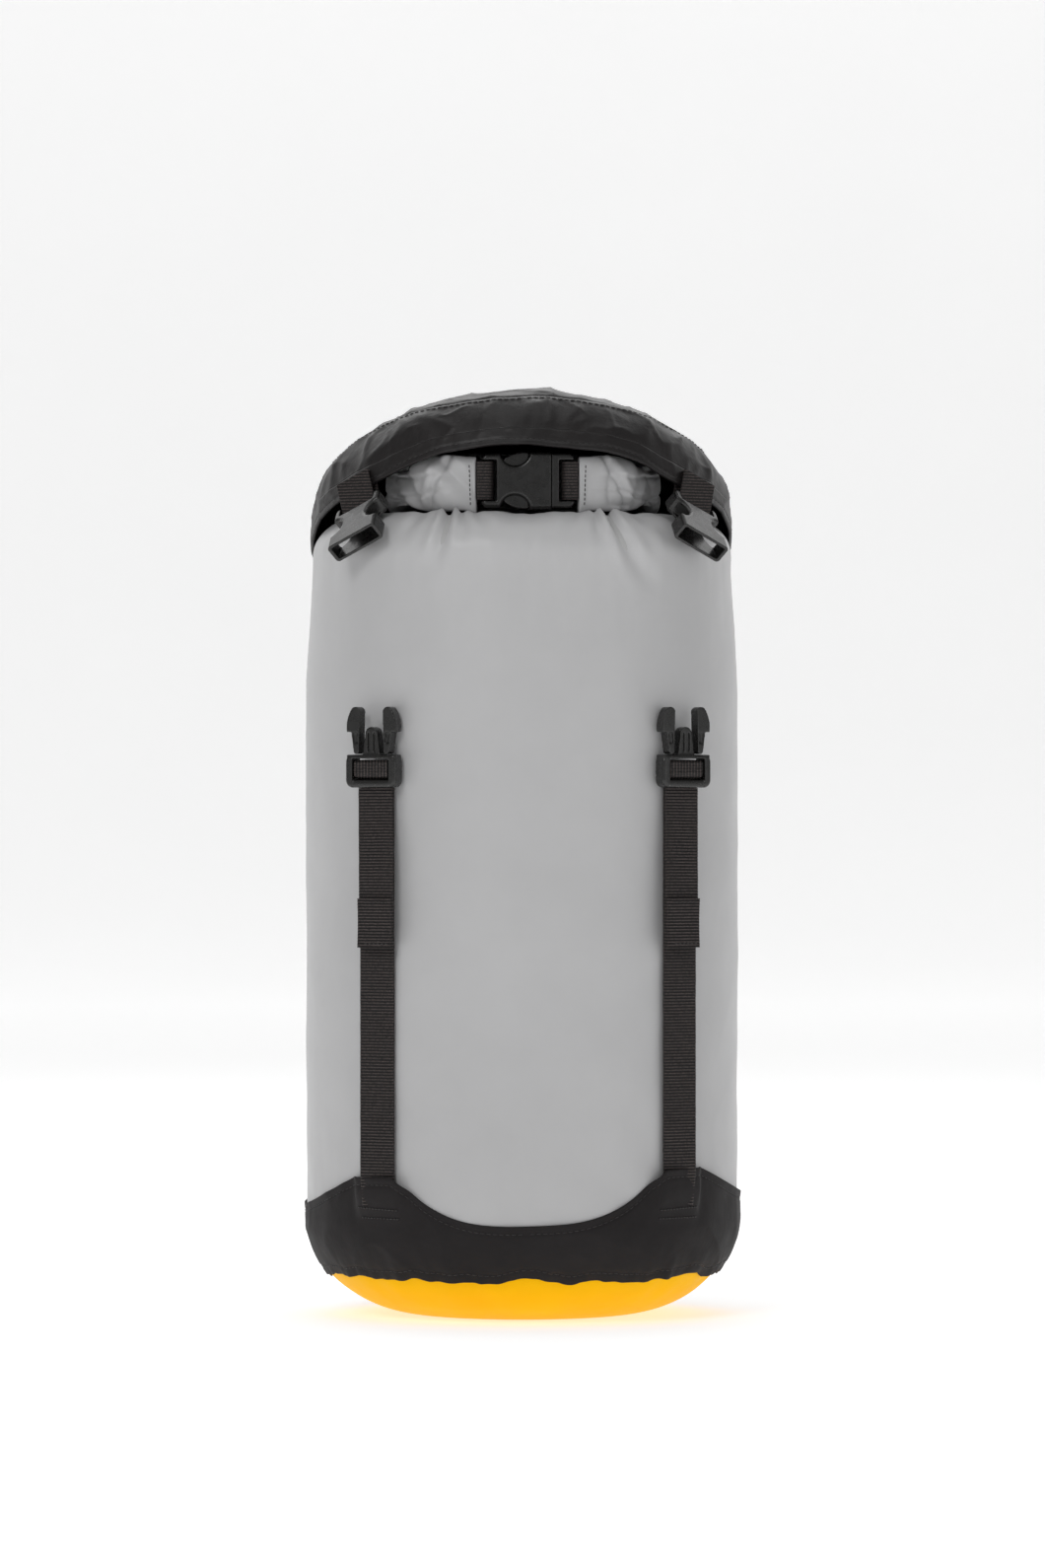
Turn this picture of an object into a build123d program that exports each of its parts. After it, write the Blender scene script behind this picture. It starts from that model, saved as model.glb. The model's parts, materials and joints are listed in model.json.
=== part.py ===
"""Roll-top compression sack: a stuffed fabric tube with a rolled and buckled mouth, a lid tilted open
over it, a strapped base band, and four webbing compression straps with side-release buckles.

Millimetres, +Z up, the front of the sack faces -Y. The origin is the centre of the base, on the floor.
Buckle templates are drawn in a frame of their own: u (X) runs from the male half into the female half,
v (Y) across the webbing, w (Z) out of the face, with the female half's mouth at u = 0.
"""

import os
from math import cos, radians, sin

from build123d import *

# --- Sack -------------------------------------------------------------------------------------------
sack_radius = 90.0  # full width of the stuffed tube
sack_height = 332.5  # floor to the top under the roll
cloth = 1.0  # wall of every fabric shell
layer_gap = 0.3  # between two layers of cloth that lie on each other
base_flat = 40.0  # radius of the patch that the sack stands on
base_rise = 42.0  # height at which the rounded base meets the tube
base_seam = 30.0  # height of the seam between base panel and tube
taper_start = 255.0  # the tube narrows a little above this
shoulder_radius = sack_radius - 2.4
shoulder_drop = 17.0  # the shoulder rounds over this height
shoulder_reach = 20.0  # and over this radius

# --- Base band --------------------------------------------------------------------------------------
band_hem = 17.0  # lower hem, above the floor
band_peak = 62.0  # upper edge at the straps
band_front_dip = 38.0  # upper edge at the middle of the front and of the back
band_side_dip = 48.0  # upper edge at the sides

# --- Webbing and straps -----------------------------------------------------------------------------
webbing_width = 15.8
webbing = 1.2  # thickness
strap_facing = 30.0  # degrees between a strap's face and the sack's front or back
strap_offset = 18.5  # along the strap's plane, from where that plane touches the sack
strap_standoff = 0.9  # from the sack to the back of the webbing
layer_slip = 0.2  # between the standing webbing and its tail
front_buckle_height = 233.0  # mouth plane of the front straps' male halves
rear_buckle_height = sack_height - 70.5  # hangs from the lid's back hem
front_tail = 45.0  # free tail between buckle and folded end
rear_tail = 18.0
tail_fold = 20.0  # length of the folded and sewn end of a tail

band_peak_inner = (  # the band's peaks start at the inner edges of the straps
    sack_radius * sin(radians(strap_facing)) + (strap_offset - webbing_width / 2) * cos(radians(strap_facing)) - 0.5
)

# --- Side-release buckle ----------------------------------------------------------------------------
buckle_width = 23.5
female_length = 28.5
female_thick = 8.0
cavity_height = 5.6
cavity_depth = 20.3
cheek = 1.5  # side wall of the female half at its mouth
window_start = 8.9  # where the side windows open
scoop_end = 20.8
scoop_depth = 5.5
bar_radius = 1.7
slot_half = webbing_width / 2 + 0.6  # half width of a webbing slot
slot_length = webbing + 1.5
male_thick = 6.8
ladder_length = 13.5
lock_start = 4.0  # the bar that the webbing wraps over, below the mouth plane
lock_end = 7.2
lock_thick = 2.6
lock_out = 0.3
lip_start = 10.2  # the lip that the tail passes under
lip_high = 3.0
male_base_length = 9.4
tongue_length = 11.3
tongue_root = 4.0  # half width
tongue_tip = 2.7
tongue_thick = 4.8
prong_length = 19.6
prong_thick = 5.0
prong_pivot_u = 1.5
prong_pivot_v = 7.0
prong_root_radius = 1.3
catch_clearance = 0.3
bar_clearance = 0.25  # between a bar and the webbing looped round it

# --- Rolled mouth -----------------------------------------------------------------------------------
roll_thick = 8.5
roll_height = 23.0
roll_half_width = sack_radius - 37.0  # centreline, to the left and right
roll_front = sack_radius - 36.0  # centreline, towards the front
roll_rear = sack_radius - 48.0
roll_corner = roll_half_width - 13.0
roll_split = roll_front - 22.0  # the arms of the roll start this far towards the front
roll_arm_end = 29.0  # and end this far from the middle
roll_tab_end = 20.8  # outer end of the loops, inner end of the tabs
stiffener = 1.0
stiffener_height = 16.0
roll_buckle_mouth = 9.7  # the mouth plane of the roll's buckle, towards the right
roll_buckle_drop = 1.0  # the buckle's middle lies this far in front of the roll's centreline

# --- Lid --------------------------------------------------------------------------------------------
lid_radius = sack_radius - 2.0
lid_tilt = 25.0  # degrees, tipped back
lid_back = 11.3  # the rim's centre lies behind the sack's axis
lid_rim_height = sack_height - 8.5
lid_wall = 8.0  # straight part of the side above the rim
lid_dome = 41.0  # rise of the rounded part
lid_hem = 7.0
hem_thick = 1.6
crown_seam = 25.0  # above the rim
lid_split = lid_radius - 28.0  # the back panel of the lid starts here

# --- Front female halves, hanging from the lid ------------------------------------------------------
hanging_turn = 45.3  # degrees from the front to the centre of the mouth
hanging_standoff = 9.6  # from the tube's full width to that centre
hanging_mouth = (
    (sack_radius + hanging_standoff) * sin(radians(hanging_turn)),
    -(sack_radius + hanging_standoff) * cos(radians(hanging_turn)),
    lid_rim_height - 4.5,
)
hanging_normal = (0.593, -0.392, 0.709)  # out of the buckle's face, on the right
hanging_roll = -38.5  # degrees that the buckle is turned about that normal
hanging_bend = 27.5  # degrees that the webbing loop leans out from the buckle, up to the lid's hem
hanging_leg = 15.0  # from the bar to the end of the loop, sewn into that hem


# ===================================================================================================
# Frames
# ===================================================================================================
def strap_plane(side, end, height, out=0.0):
    """Frame on a strap: u up, w outwards. side is +1 for the right, end is -1 for the front."""
    normal = Vector(side * sin(radians(strap_facing)), end * cos(radians(strap_facing)), 0)
    along = Vector(side * cos(radians(strap_facing)), -end * sin(radians(strap_facing)), 0)
    distance = sack_radius + strap_standoff + out
    origin = normal * distance + along * strap_offset + Vector(0, 0, height)
    return Plane(origin=origin, x_dir=(0, 0, 1), z_dir=normal)


def hanging_plane(side):
    """Frame of a front female half: u from its mouth to its bar, w out of its face."""
    normal = Vector(side * hanging_normal[0], hanging_normal[1], hanging_normal[2]).normalized()
    up = (Vector(0, 0, 1) - normal * normal.Z).normalized()
    up = up.rotate(Axis((0, 0, 0), normal), side * hanging_roll)
    mouth = Vector(side * hanging_mouth[0], hanging_mouth[1], hanging_mouth[2])
    return Plane(origin=mouth, x_dir=up, z_dir=normal)


def roll_plane(out=0.0):
    """Frame of the roll's buckle: u to the left, w to the front."""
    origin = (roll_buckle_mouth, -roll_front - roll_buckle_drop - out, roll_middle)
    return Plane(origin=origin, x_dir=(-1, 0, 0), z_dir=(0, -1, 0))


def on(plane, u=0.0, v=0.0, w=0.0):
    """The same frame, moved within itself."""
    return Plane(origin=plane.from_local_coords(Vector(u, v, w)), x_dir=plane.x_dir, z_dir=plane.z_dir)


roll_bottom = sack_height + layer_gap
roll_middle = roll_bottom + buckle_width / 2 + 1.0
buckle_out = male_thick / 2  # from the back of the webbing to a buckle's middle plane
lid_axis = Vector(0, sin(radians(lid_tilt)), cos(radians(lid_tilt)))
lid_frame = Plane(origin=(0, lid_back, lid_rim_height), x_dir=(1, 0, 0), z_dir=lid_axis)
standing_w = -buckle_out + webbing / 2  # middle of the webbing behind the ladder
tail_w = standing_w + webbing + layer_slip
lip_low = tail_w + webbing / 2 + layer_slip
bar_u = female_length - 0.1 - bar_radius
male_bar_u = -male_base_length + 0.1 + bar_radius
parts = []


def finish(builder, label):
    """Name a finished piece and keep it for export."""
    builder.part.label = label
    parts.append(builder)
    return builder


def place(template, plane, label):
    """A copy of a template at a frame, as a piece of its own."""
    with BuildPart() as placed:
        with Locations(plane.location):
            add(template.part)
    return finish(placed, label)


# ===================================================================================================
# Sack: tube, base panel, filling, base band
# ===================================================================================================
def sack_outline(grow):
    """Half outline of the stuffed sack in the XZ plane, grown outwards by an amount."""
    with BuildSketch(Plane.XZ) as outline:
        with BuildLine():
            foot = Line((0, -grow), (base_flat, -grow))
            round_base = EllipticalCenterArc(
                (base_flat, base_rise),
                sack_radius - base_flat + grow,
                base_rise + grow,
                start_angle=270,
                arc_size=90,
            )
            side = Line(round_base @ 1, (sack_radius + grow, taper_start))
            shoulder_start = (shoulder_radius + grow, sack_height - shoulder_drop)
            Spline(side @ 1, shoulder_start, tangents=((0, 1), (0, 1)))
            shoulder = EllipticalCenterArc(
                (shoulder_radius - shoulder_reach, sack_height - shoulder_drop),
                shoulder_reach + grow,
                shoulder_drop + grow,
                start_angle=0,
                arc_size=90,
            )
            Polyline(shoulder @ 1, (0, sack_height + grow), foot @ 0)
        make_face()
    return outline


def sack_layer(outer, inner, low, high):
    """A body of revolution between two grown outlines, from one height to another."""
    with BuildPart() as layer:
        with BuildSketch(Plane.XZ):
            add(sack_outline(outer).sketch)
            if inner is not None:
                add(sack_outline(inner).sketch, mode=Mode.SUBTRACT)
            with Locations((sack_radius, (low + high) / 2)):
                Rectangle(2 * sack_radius, high - low, mode=Mode.INTERSECT)
        revolve(axis=Axis.Z)
    return layer


margin = 20.0
finish(sack_layer(0, -cloth, base_seam, sack_height + margin), "sack_tube")
finish(sack_layer(0, -cloth, -margin, base_seam), "base_panel")
finish(sack_layer(-cloth - layer_gap, None, -margin, sack_height + margin), "filling")

band_inner = layer_gap
band_outer = layer_gap + cloth
with BuildPart() as base_band:
    add(sack_layer(band_outer, band_inner, band_hem, band_peak).part)
    for plane, dip in ((Plane.XZ, band_front_dip), (Plane.YZ, band_side_dip)):
        with BuildSketch(plane):
            with BuildLine():
                edge = ThreePointArc((-band_peak_inner, band_peak), (0, dip), (band_peak_inner, band_peak))
                Polyline(
                    edge @ 0,
                    (-band_peak_inner, band_peak + margin),
                    (band_peak_inner, band_peak + margin),
                    edge @ 1,
                )
            make_face()
        extrude(amount=sack_radius + margin, both=True, mode=Mode.SUBTRACT)
finish(base_band, "base_band")


# ===================================================================================================
# Side-release buckle templates
# ===================================================================================================
def round_bar(u):
    """A webbing bar across a slot."""
    with BuildPart() as bar:
        with BuildSketch(Plane.XZ):
            with Locations((u, 0)):
                Circle(bar_radius)
        extrude(amount=slot_half + 0.1, both=True)
    return bar


with BuildPart() as female:
    half = buckle_width / 2
    end_half = half - 0.6
    with BuildSketch():
        with BuildLine():
            mouth_edge = Line((0, 0), (0, half))
            lip = Line(mouth_edge @ 1, (window_start, half))
            scoop = ThreePointArc(
                lip @ 1, ((window_start + scoop_end) / 2, half - scoop_depth), (scoop_end, end_half)
            )
            shoulder_edge = Line(scoop @ 1, (female_length - 2.5, end_half))
            corner = RadiusArc(shoulder_edge @ 1, (female_length, end_half - 2.5), 2.5)
            Line(corner @ 1, (female_length, 0))
            mirror(about=Plane.XZ)
        make_face()
    extrude(amount=female_thick / 2, both=True)
    rims = female.faces().filter_by(Axis.Z).edges().filter_by(
        lambda e: abs(e.center().X) > 0.01
    )
    fillet(rims, 1.5)
    with BuildSketch():  # room for the prongs, open to the sides at the windows
        with Locations((cavity_depth / 2, 0)):
            Rectangle(cavity_depth, buckle_width - 2 * cheek)
        with Locations(((window_start + cavity_depth) / 2, 0)):
            Rectangle(cavity_depth - window_start, buckle_width + 2)
    extrude(amount=cavity_height / 2, both=True, mode=Mode.SUBTRACT)
    with BuildSketch():  # webbing slot, open at the bar's end until the bar is added
        slot_start = bar_u - bar_radius - slot_length
        with Locations(((slot_start + female_length + 1) / 2, 0)):
            Rectangle(female_length + 1 - slot_start, 2 * slot_half)
    extrude(amount=female_thick, both=True, mode=Mode.SUBTRACT)
    add(round_bar(bar_u).part)


def tongue():
    """Centre guide of a male half, with two grooves on each face."""
    groove = 0.9
    with BuildPart() as guide:
        with BuildSketch():
            with BuildLine():
                flank = Line((-0.5, tongue_root), (tongue_length - 2.0, tongue_tip))
                nose = ThreePointArc(flank @ 1, (tongue_length, 0), (tongue_length - 2.0, -tongue_tip))
                Polyline(nose @ 1, (-0.5, -tongue_root), (-0.5, tongue_root))
            make_face()
        extrude(amount=tongue_thick / 2, both=True)
        for face in (-1, 1):
            with BuildSketch(Plane.XY.offset(face * tongue_thick / 2)):
                with Locations((tongue_length / 2 - 0.6, -1.3), (tongue_length / 2 - 0.6, 1.3)):
                    SlotOverall(tongue_length - 3.4, groove)
            extrude(amount=groove, both=True, mode=Mode.SUBTRACT)
    return guide


with BuildPart() as male_ladder:
    with BuildSketch():
        with Locations((-ladder_length / 2, 0)):
            RectangleRounded(ladder_length, buckle_width, 3.0)
        with Locations((-1.5, 0)):
            Rectangle(3.0, buckle_width - 0.8)
    extrude(amount=male_thick / 2, both=True)
    fillet(male_ladder.faces().filter_by(Axis.Z).edges(), 1.3)
    top_beam = 1.6
    with BuildSketch():
        with Locations((-(ladder_length + 1 + top_beam) / 2, 0)):
            Rectangle(ladder_length + 1 - top_beam, 2 * slot_half)
    extrude(amount=male_thick, both=True, mode=Mode.SUBTRACT)
    with BuildSketch(Plane.XZ):
        with Locations((-(lock_start + lock_end) / 2, lock_out)):
            RectangleRounded(lock_end - lock_start, lock_thick, 0.8)
        with Locations((-(lip_start + ladder_length) / 2, (lip_low + lip_high) / 2)):
            RectangleRounded(ladder_length - lip_start, lip_high - lip_low, 1.2)
    extrude(amount=slot_half + 0.3, both=True)
    add(tongue().part)

with BuildPart() as male_loop:
    end_half = buckle_width / 2 - 0.6
    with BuildSketch():
        with Locations((-male_base_length / 2, 0)):
            RectangleRounded(male_base_length, 2 * end_half, 2.2)
        with Locations((-1.2, 0)):
            Rectangle(2.4, 2 * end_half)
    extrude(amount=male_thick / 2, both=True)
    fillet(male_loop.faces().filter_by(Axis.Z).edges(), 0.8)
    with BuildSketch():
        slot_end = male_bar_u + bar_radius + slot_length
        with Locations(((slot_end - male_base_length - 1) / 2, 0)):
            Rectangle(slot_end + male_base_length + 1, 2 * slot_half)
    extrude(amount=male_thick, both=True, mode=Mode.SUBTRACT)
    add(round_bar(male_bar_u).part)
    add(tongue().part)

catch = window_start + catch_clearance
inside_cheek = buckle_width / 2 - cheek
with BuildPart() as prong:
    with BuildSketch():
        with BuildLine():
            inner = Line((prong_pivot_u, prong_pivot_v - prong_root_radius), (prong_length - 3.0, 5.4))
            tip = ThreePointArc(inner @ 1, (prong_length - 0.2, 6.8), (prong_length - 1.2, 9.4))
            barb = ThreePointArc(tip @ 1, (catch + 5.0, 11.2), (catch, 11.4))
            Polyline(
                barb @ 1,
                (catch, inside_cheek - 0.9),
                (prong_pivot_u, prong_pivot_v + prong_root_radius),
                inner @ 0,
            )
        make_face()
        with Locations((prong_pivot_u, prong_pivot_v)):
            Circle(prong_root_radius)
    extrude(amount=prong_thick / 2, both=True)
    for face in (-1, 1):  # the spring arm is lighter than its head
        with BuildSketch(Plane.XY.offset(face * prong_thick / 2)):
            with Locations((catch / 2 + 2.2, 7.4)):
                Rectangle(catch - 4.6, 2.0, rotation=5)
        extrude(amount=0.8, both=True, mode=Mode.SUBTRACT)

with BuildPart() as prong_mirrored:
    add(prong.part)
    mirror(about=Plane.XZ, mode=Mode.REPLACE)


def loop_template(leg):
    """Webbing looped round a bar at the origin, its legs sewn together at u = leg."""
    inner_radius = bar_radius + bar_clearance
    outer_radius = inner_radius + webbing
    with BuildPart() as loop:
        with BuildSketch(Plane.XZ):
            Circle(outer_radius)
            with Locations((leg / 2, 0)):
                Rectangle(leg, 2 * outer_radius)
            Circle(inner_radius, mode=Mode.SUBTRACT)
            with Locations(((leg - webbing) / 2, 0)):
                Rectangle(leg - webbing, 2 * inner_radius, mode=Mode.SUBTRACT)
        extrude(amount=webbing_width / 2, both=True)
    return loop


# ===================================================================================================
# Straps: standing webbing, wrap round the ladder, tail, folded end
# ===================================================================================================
wrap_end = ladder_length + 0.2
wrap_over = lock_out + lock_thick / 2 + bar_clearance + webbing / 2
wrap_up = webbing / 2 + 0.5 - lock_start
wrap_down = -lock_end - 0.9 - webbing / 2

with BuildPart() as wrap:
    with BuildSketch(Plane.XZ):
        with BuildLine() as path:
            FilletPolyline(
                (-wrap_end, standing_w),
                (wrap_up, standing_w),
                (wrap_up, wrap_over),
                (wrap_down, wrap_over),
                (wrap_down, tail_w),
                (-wrap_end, tail_w),
                radius=0.9,
            )
        trace(line_width=webbing)
    extrude(amount=webbing_width / 2, both=True)


def web_slab(plane, low, high, w_low, thickness):
    """A straight length of webbing on a strap frame, between two places along u."""
    with BuildPart() as slab:
        with BuildSketch(on(plane, (low + high) / 2, 0, w_low)):
            Rectangle(high - low, webbing_width)
        extrude(amount=thickness)
    return slab


def strap(side, end, buckle_height, tail_length, name):
    """Standing webbing, its wrap and tail, the male half and its prongs."""
    back = strap_plane(side, end, 0)
    buckle = strap_plane(side, end, buckle_height, buckle_out)
    wrap_low = buckle_height - wrap_end
    tail_out = webbing + layer_slip
    tail_low = wrap_low - tail_length
    finish(web_slab(back, band_peak + layer_gap, wrap_low, 0, webbing), name + "_strap")
    place(wrap, buckle, name + "_strap_wrap")
    finish(web_slab(back, tail_low, wrap_low, tail_out, webbing), name + "_strap_tail")
    fold_thick = 2 * webbing + layer_slip
    finish(web_slab(back, tail_low - tail_fold, tail_low, tail_out, fold_thick), name + "_tail_end")
    place(male_ladder, buckle, name + "_male_half")
    place(prong, buckle, name + "_prong_a")
    place(prong_mirrored, buckle, name + "_prong_b")
    return buckle


sides = (("left", -1), ("right", 1))
for side_name, side in sides:
    strap(side, -1, front_buckle_height, front_tail, "front_" + side_name)
    rear = strap(side, 1, rear_buckle_height, rear_tail, "rear_" + side_name)
    place(female, rear, "rear_" + side_name + "_female_half")
    rear_loop = loop_template(6.0)
    place(rear_loop, on(rear, bar_u), "rear_" + side_name + "_lid_loop")
    hanging = hanging_plane(side)
    place(female, hanging, "front_" + side_name + "_female_half")
    lean = radians(hanging_bend)
    loop_plane = Plane(
        origin=on(hanging, bar_u).origin,
        x_dir=hanging.x_dir * cos(lean) + hanging.z_dir * sin(lean),
        z_dir=hanging.z_dir * cos(lean) - hanging.x_dir * sin(lean),
    )
    place(loop_template(hanging_leg), loop_plane, "front_" + side_name + "_lid_loop")


# ===================================================================================================
# Rolled mouth and its buckle
# ===================================================================================================
def roll_ring(width, low, height, round_edge):
    """A strip that follows the roll's centreline, all the way round."""
    with BuildPart() as ring:
        with BuildSketch(Plane.XY.offset(low)):
            middle = (roll_rear - roll_front) / 2
            length, depth = 2 * roll_half_width, roll_front + roll_rear
            with Locations((0, middle)):
                RectangleRounded(length + width, depth + width, roll_corner + width / 2)
                RectangleRounded(
                    length - width, depth - width, roll_corner - width / 2, mode=Mode.SUBTRACT
                )
        extrude(amount=height)
        if round_edge:
            fillet(ring.faces().filter_by(Axis.Z).edges(), round_edge)
    return ring


stiffener_low = roll_bottom + (roll_height - stiffener_height) / 2
roll = roll_ring(roll_thick, roll_bottom, roll_height, 2.5)
pocket = roll_ring(stiffener + 2 * layer_slip, stiffener_low - layer_slip, stiffener_height + 2 * layer_slip, 0)
strip = roll_ring(stiffener, stiffener_low, stiffener_height, 0)
far = 200.0

with BuildPart() as rolled_mouth:
    add(roll.part)
    add(pocket.part, mode=Mode.SUBTRACT)
    with Locations((0, far / 2 - roll_split, roll_middle)):
        Box(far, far, far, mode=Mode.INTERSECT)
finish(rolled_mouth, "rolled_mouth")

with BuildPart() as roll_stiffener:
    add(strip.part)
    with Locations((0, far / 2 - roll_split, roll_middle)):
        Box(far, far, far, mode=Mode.INTERSECT)
finish(roll_stiffener, "roll_stiffener")

roll_middle_plane = roll_plane()
for side_name, side in sides:
    with BuildPart() as arm:
        add(roll.part)
        with Locations((side * (far / 2 + roll_arm_end), -far / 2 - roll_split, roll_middle)):
            Box(far, far, far, mode=Mode.INTERSECT)
    finish(arm, "roll_arm_" + side_name)
    tab_thick = 2 * (bar_radius + bar_clearance + webbing) + 0.2
    with BuildPart() as tab:
        with Locations(
            (
                side * (roll_arm_end - layer_gap + roll_tab_end) / 2,
                -roll_front - roll_buckle_drop,
                roll_bottom + roll_height / 2,
            )
        ):
            Box(roll_arm_end - layer_gap - roll_tab_end, tab_thick, roll_height - 2)
        fillet(tab.edges().filter_by(Axis.X), 2.0)
    finish(tab, "roll_tab_" + side_name)

place(female, roll_middle_plane, "roll_female_half")
place(male_loop, roll_middle_plane, "roll_male_half")
place(prong, roll_middle_plane, "roll_prong_a")
place(prong_mirrored, roll_middle_plane, "roll_prong_b")
left_leg = roll_tab_end + roll_buckle_mouth - bar_u
right_leg = roll_tab_end - roll_buckle_mouth + male_bar_u
place(loop_template(left_leg), on(roll_middle_plane, bar_u), "roll_loop_left")
flipped = Plane(
    origin=roll_middle_plane.from_local_coords(Vector(male_bar_u, 0, 0)), x_dir=(1, 0, 0), z_dir=(0, -1, 0)
)
place(loop_template(right_leg), flipped, "roll_loop_right")


# ===================================================================================================
# Lid
# ===================================================================================================
def lid_outline(shrink):
    """Half outline of the lid's dome, in the lid's own frame, shrunk by an amount."""
    with BuildSketch(Plane.XZ) as outline:
        with BuildLine():
            wall = Line((lid_radius - shrink, 0), (lid_radius - shrink, lid_wall))
            dome = EllipticalCenterArc(
                (0, lid_wall), lid_radius - shrink, lid_dome - shrink, start_angle=0, arc_size=90
            )
            Polyline(dome @ 1, (0, 0), wall @ 0)
        make_face()
    return outline


def lid_shell(low, high, thickness):
    """A ring of the lid between two heights above its rim, in the lid's own frame."""
    with BuildPart() as shell:
        with BuildSketch(Plane.XZ):
            add(lid_outline(0).sketch)
            add(lid_outline(thickness).sketch, mode=Mode.SUBTRACT)
            with Locations((lid_radius / 2, (low + high) / 2)):
                Rectangle(2 * lid_radius, high - low, mode=Mode.INTERSECT)
            with Locations((lid_radius, 0)):
                Rectangle(2 * lid_radius, far, mode=Mode.INTERSECT)
        revolve(axis=Axis.Z)
    return shell


def lid_piece(shell, keep_front, label):
    """A ring of the lid, moved into place and cut where the back panel starts."""
    with BuildPart() as piece:
        with Locations(lid_frame.location):
            add(shell.part)
        centre = lid_split - far / 2 if keep_front else lid_split + far / 2
        with Locations((0, centre, lid_rim_height)):
            Box(far, far, far, mode=Mode.INTERSECT)
    return finish(piece, label)


lid_piece(lid_shell(crown_seam, lid_wall + lid_dome, cloth), True, "lid_crown")
lid_piece(lid_shell(lid_hem, crown_seam, cloth), True, "lid_side_band")
lid_piece(lid_shell(0, lid_hem, hem_thick), True, "lid_hem")
lid_piece(lid_shell(0, lid_wall + lid_dome, cloth), False, "lid_back_panel")


os.makedirs("parts", exist_ok=True)
for builder in parts:
    export_step(builder.part, f"parts/{builder.part.label}.step")
print("pieces", len(parts))
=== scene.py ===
"""Looks of the compression sack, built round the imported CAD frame.

Shapes are worked out in millimetres, in the frame's own axes (+Z up, the front faces -Y), and turned into
Blender's metres where a mesh is made. The soft pieces replace their plain CAD solids; the buckles are
remeshed copies of theirs with softened edges.
"""

import json
from math import asin, atan2, cos, exp, hypot, pi, radians, sin, sqrt, tau

import bmesh
import bpy
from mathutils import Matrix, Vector, noise
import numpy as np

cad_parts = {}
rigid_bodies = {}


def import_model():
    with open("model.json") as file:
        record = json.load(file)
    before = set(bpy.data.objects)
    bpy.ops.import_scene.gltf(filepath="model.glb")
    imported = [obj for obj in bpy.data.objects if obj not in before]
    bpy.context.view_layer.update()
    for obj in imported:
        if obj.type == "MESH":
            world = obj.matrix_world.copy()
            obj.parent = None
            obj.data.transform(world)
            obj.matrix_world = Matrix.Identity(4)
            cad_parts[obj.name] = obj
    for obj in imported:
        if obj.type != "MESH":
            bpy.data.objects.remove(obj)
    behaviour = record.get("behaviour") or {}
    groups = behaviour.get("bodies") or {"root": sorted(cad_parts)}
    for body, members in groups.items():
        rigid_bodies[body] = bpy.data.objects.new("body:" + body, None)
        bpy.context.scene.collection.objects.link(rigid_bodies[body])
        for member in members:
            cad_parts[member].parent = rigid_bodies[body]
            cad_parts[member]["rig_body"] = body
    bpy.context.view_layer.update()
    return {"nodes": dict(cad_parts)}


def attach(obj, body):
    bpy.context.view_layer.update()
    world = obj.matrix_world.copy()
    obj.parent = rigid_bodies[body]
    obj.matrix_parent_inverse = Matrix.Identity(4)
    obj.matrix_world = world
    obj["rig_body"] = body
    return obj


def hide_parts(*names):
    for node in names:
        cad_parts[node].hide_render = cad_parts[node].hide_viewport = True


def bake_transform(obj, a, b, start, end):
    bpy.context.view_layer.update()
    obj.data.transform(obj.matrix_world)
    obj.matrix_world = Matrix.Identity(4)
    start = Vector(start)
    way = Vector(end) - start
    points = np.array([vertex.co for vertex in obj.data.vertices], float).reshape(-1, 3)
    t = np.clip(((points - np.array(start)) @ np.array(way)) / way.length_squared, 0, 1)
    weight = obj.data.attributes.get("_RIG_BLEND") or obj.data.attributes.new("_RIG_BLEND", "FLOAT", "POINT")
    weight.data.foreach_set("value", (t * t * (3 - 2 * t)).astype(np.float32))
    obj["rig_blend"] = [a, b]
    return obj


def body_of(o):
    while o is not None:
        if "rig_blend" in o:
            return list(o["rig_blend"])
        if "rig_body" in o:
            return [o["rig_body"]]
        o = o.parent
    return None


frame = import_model()
nodes = frame["nodes"]

MM = 0.001

# --- Sizes, in millimetres, repeated from part.py ----------------------------------------------------
SACK_R = 90.0  # full width of the stuffed tube
SACK_TOP = 332.5
BASE_FLAT = 40.0  # radius of the flat patch it stands on
BASE_RISE = 42.0  # height of the rounded base
TAPER_START = 255.0
SHOULDER_R = 87.6
SHOULDER_DROP = 17.0
SHOULDER_REACH = 20.0
BASE_SEAM = 27.0  # where the tube meets the base panel, under the band
BAND_PEAK = 62.0  # top of the band at the straps
BAND_HEM = 19.0
BAND_FRONT_DIP = 41.5
BAND_SIDE_DIP = 48.5
WEB = 15.8
WEB_THICK = 1.2
STRAP_FACING = radians(30)  # from the front or the back
STRAP_OFFSET = 18.5  # sideways on that face
STRAP_STANDOFF = 0.9
FRONT_MOUTH = 233.0  # mouth planes of the straps' male halves
REAR_MOUTH = 262.0
FRONT_TAIL = 45.0
REAR_TAIL = 18.0
TAIL_FOLD = 20.0
MALE_THICK = 6.8
LADDER_LOW = 13.7  # from a mouth plane to the foot of the ladder
LAYER_SLIP = 0.2
ROLL_MID = 344.3
ROLL_FRONT = -55.0  # middle of the roll's front, where its buckle is
LID_R = 88.0
LID_TILT = radians(25)
LID_BACK = 11.3  # middle of the lid's rim
LID_RIM = 324.0
LID_WALL = 8.0
LID_DOME = 41.0
CROWN_SEAM = 25.0  # heights above the lid's rim
LID_HEM = 7.0

# --- Sizes of the looks alone, in millimetres --------------------------------------------------------
RIB = 1.25  # pitch of the webbing's ribs
ROOT_TOP = 84.0  # where the bending root of a strap ends
HEM_STITCH_IN = 3.2  # from the band's edges to their stitching
LID_STITCH = 2.3  # height of the lid hem's stitching above its rim
STITCH_PITCH, STITCH_LENGTH = 2.6, 1.9
BAR_PITCH, BAR_LENGTH, BAR_THREAD = 1.9, 1.4, 0.5  # short bars of heavier stitching
AROUND = 420  # points round the sack
LID_AROUND = 400


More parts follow.
